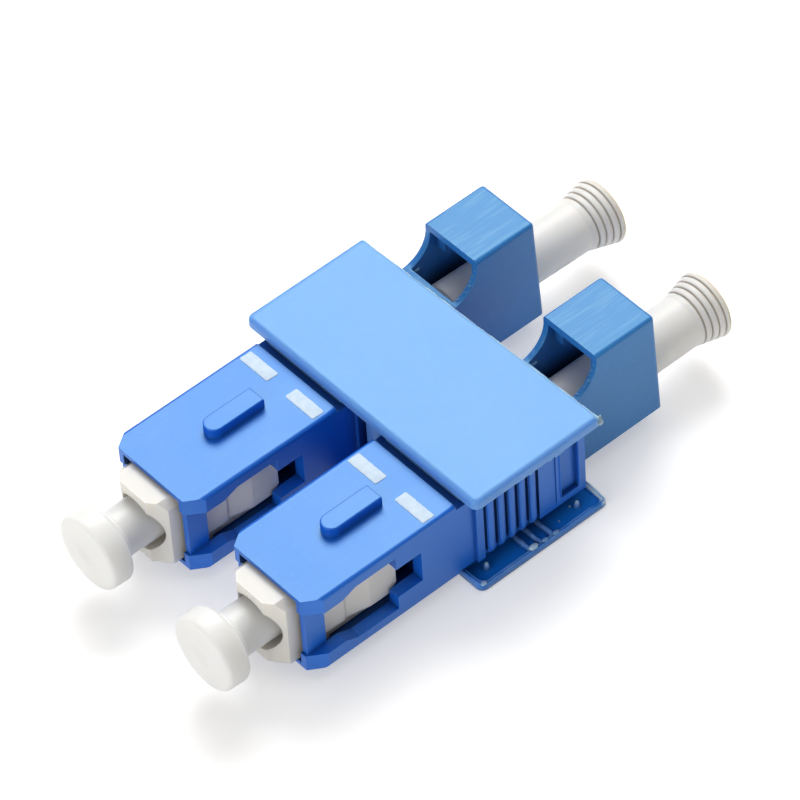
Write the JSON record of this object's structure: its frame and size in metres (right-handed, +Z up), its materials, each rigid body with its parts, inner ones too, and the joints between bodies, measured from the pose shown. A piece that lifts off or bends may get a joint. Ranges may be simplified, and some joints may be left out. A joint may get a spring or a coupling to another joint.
{
  "type": "hybrid fibre adapter",
  "caption": "Duplex fibre adapter with square keyed plug ends on one side, small ports on the other, dust caps on all four and clamping covers.",
  "frame": {"origin": "middle of the bottom cover's underside, on the line midway between the two channels", "axes": "+X from the square plug end to the small port end, +Z up, +Y to the channel b side"},
  "size_m": [0.049, 0.025, 0.0115],
  "materials": {
    "blue_plastic": "satin moulded, fine grain",
    "white_print": "printed ink",
    "ivory_plastic": "satin moulded",
    "white_ceramic": "ground and polished",
    "turned_steel": "turned",
    "spring_steel": "drawn wire",
    "milky_plastic": "soft translucent",
    "cream_plastic": "soft satin"
  },
  "bodies": {
    "housing": {"top_cover": "blue_plastic", "bottom_cover": "blue_plastic", "plug_grip_a": "blue_plastic", "plug_grip_b": "blue_plastic", "index_marks_a": "white_print", "index_marks_b": "white_print"},
    "core_a": {"plug_frame_a": "ivory_plastic", "port_body_a": "blue_plastic", "sleeve_holder_a": "ivory_plastic", "alignment_sleeve_a": "white_ceramic"},
    "ferrule_unit_a": {"plug_ferrule_a": "white_ceramic", "port_ferrule_a": "white_ceramic", "ferrule_holder_a": "turned_steel", "ferrule_spring_a": "spring_steel"},
    "plug_cap_a": {"plug_dust_cap_a": "milky_plastic"},
    "port_cap_a": {"port_dust_cap_a": "cream_plastic"},
    "core_b": {"plug_frame_b": "ivory_plastic", "port_body_b": "blue_plastic", "sleeve_holder_b": "ivory_plastic", "alignment_sleeve_b": "white_ceramic"},
    "ferrule_unit_b": {"plug_ferrule_b": "white_ceramic", "port_ferrule_b": "white_ceramic", "ferrule_holder_b": "turned_steel", "ferrule_spring_b": "spring_steel"},
    "plug_cap_b": {"plug_dust_cap_b": "milky_plastic"},
    "port_cap_b": {"port_dust_cap_b": "cream_plastic"}
  },
  "joints": [
    {"name": "core_slide_a", "type": "slide", "parent": "housing", "child": "core_a", "axis": [-1, 0, 0], "range_m": [0, 0.0012]},
    {"name": "ferrule_float_a", "type": "slide", "parent": "core_a", "child": "ferrule_unit_a", "axis": [1, 0, 0], "range_m": [0, 0.001], "stiffness_N_per_m": 900, "springref_m": -0.006, "deforming": ["ferrule_spring_a"]},
    {"name": "plug_cap_pull_a", "type": "slide", "parent": "ferrule_unit_a", "child": "plug_cap_a", "axis": [-1, 0, 0], "range_m": [0, 0.008]},
    {"name": "port_cap_pull_a", "type": "slide", "parent": "core_a", "child": "port_cap_a", "axis": [1, 0, 0], "range_m": [0, 0.01]},
    {"name": "core_slide_b", "type": "slide", "parent": "housing", "child": "core_b", "axis": [-1, 0, 0], "range_m": [0, 0.0012]},
    {"name": "ferrule_float_b", "type": "slide", "parent": "core_b", "child": "ferrule_unit_b", "axis": [1, 0, 0], "range_m": [0, 0.001], "stiffness_N_per_m": 900, "springref_m": -0.006, "deforming": ["ferrule_spring_b"]},
    {"name": "plug_cap_pull_b", "type": "slide", "parent": "ferrule_unit_b", "child": "plug_cap_b", "axis": [-1, 0, 0], "range_m": [0, 0.008]},
    {"name": "port_cap_pull_b", "type": "slide", "parent": "core_b", "child": "port_cap_b", "axis": [1, 0, 0], "range_m": [0, 0.01]}
  ]
}
